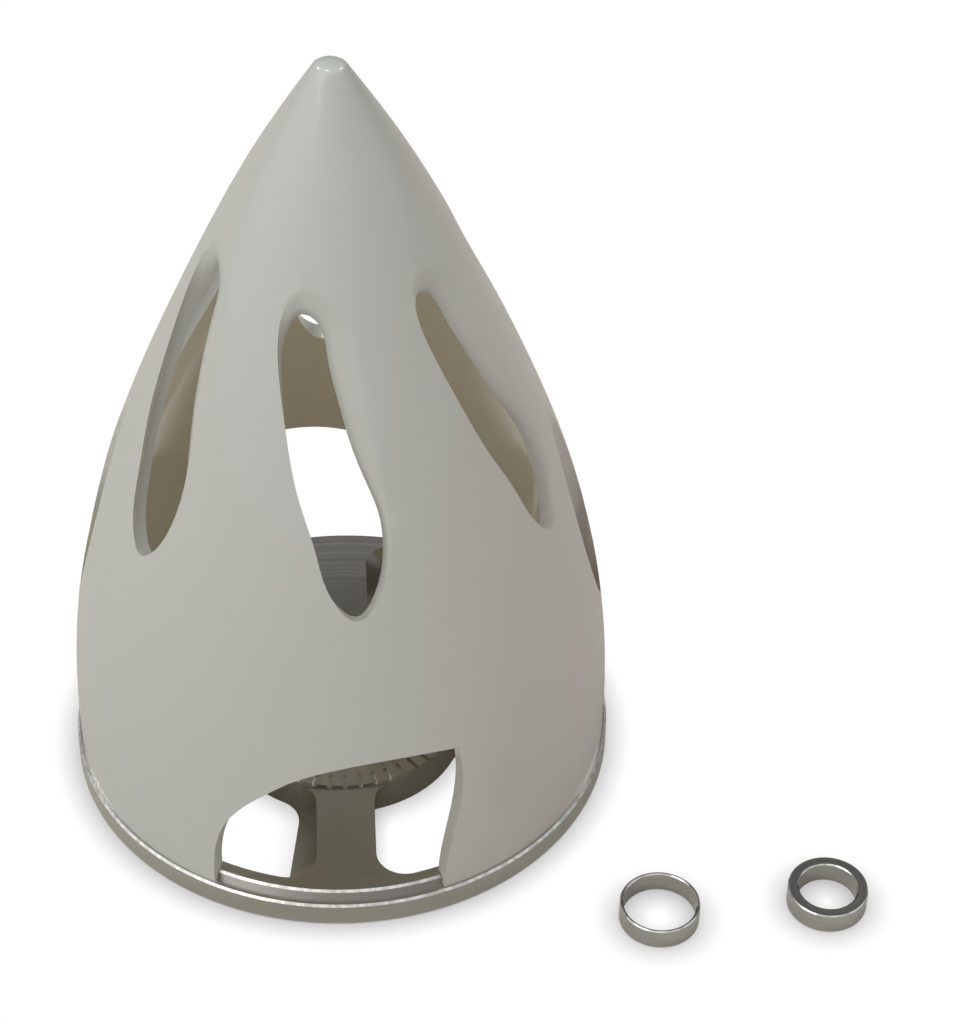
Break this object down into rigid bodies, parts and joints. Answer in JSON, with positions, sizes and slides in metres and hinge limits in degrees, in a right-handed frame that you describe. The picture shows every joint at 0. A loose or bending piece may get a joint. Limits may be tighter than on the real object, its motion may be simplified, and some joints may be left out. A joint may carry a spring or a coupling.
{
  "type": "propeller spinner",
  "caption": "Vented ogive spinner cone screwed to a machined backplate that a shaft carries behind a propeller, with loose shaft adapter rings.",
  "frame": {"origin": "centre of the shaft bore at the backplate's rear face", "axes": "+Z along the shaft towards the nose, Y along the propeller blades, +X to the right seen from the front of the picture"},
  "size_m": [0.1091, 0.0821, 0.114],
  "materials": {
    "cone_plastic": "glossy moulded white",
    "plate_metal": "fine turned",
    "screw_steel": "bright zinc",
    "ring_metal": "polished, turned"
  },
  "bodies": {
    "root": {"spinner_cone": "cone_plastic", "backplate": "plate_metal", "cone_screw_1": "screw_steel", "cone_screw_2": "screw_steel", "adapter_ring_10mm": "ring_metal", "adapter_ring_8mm": "ring_metal"}
  },
  "joints": []
}
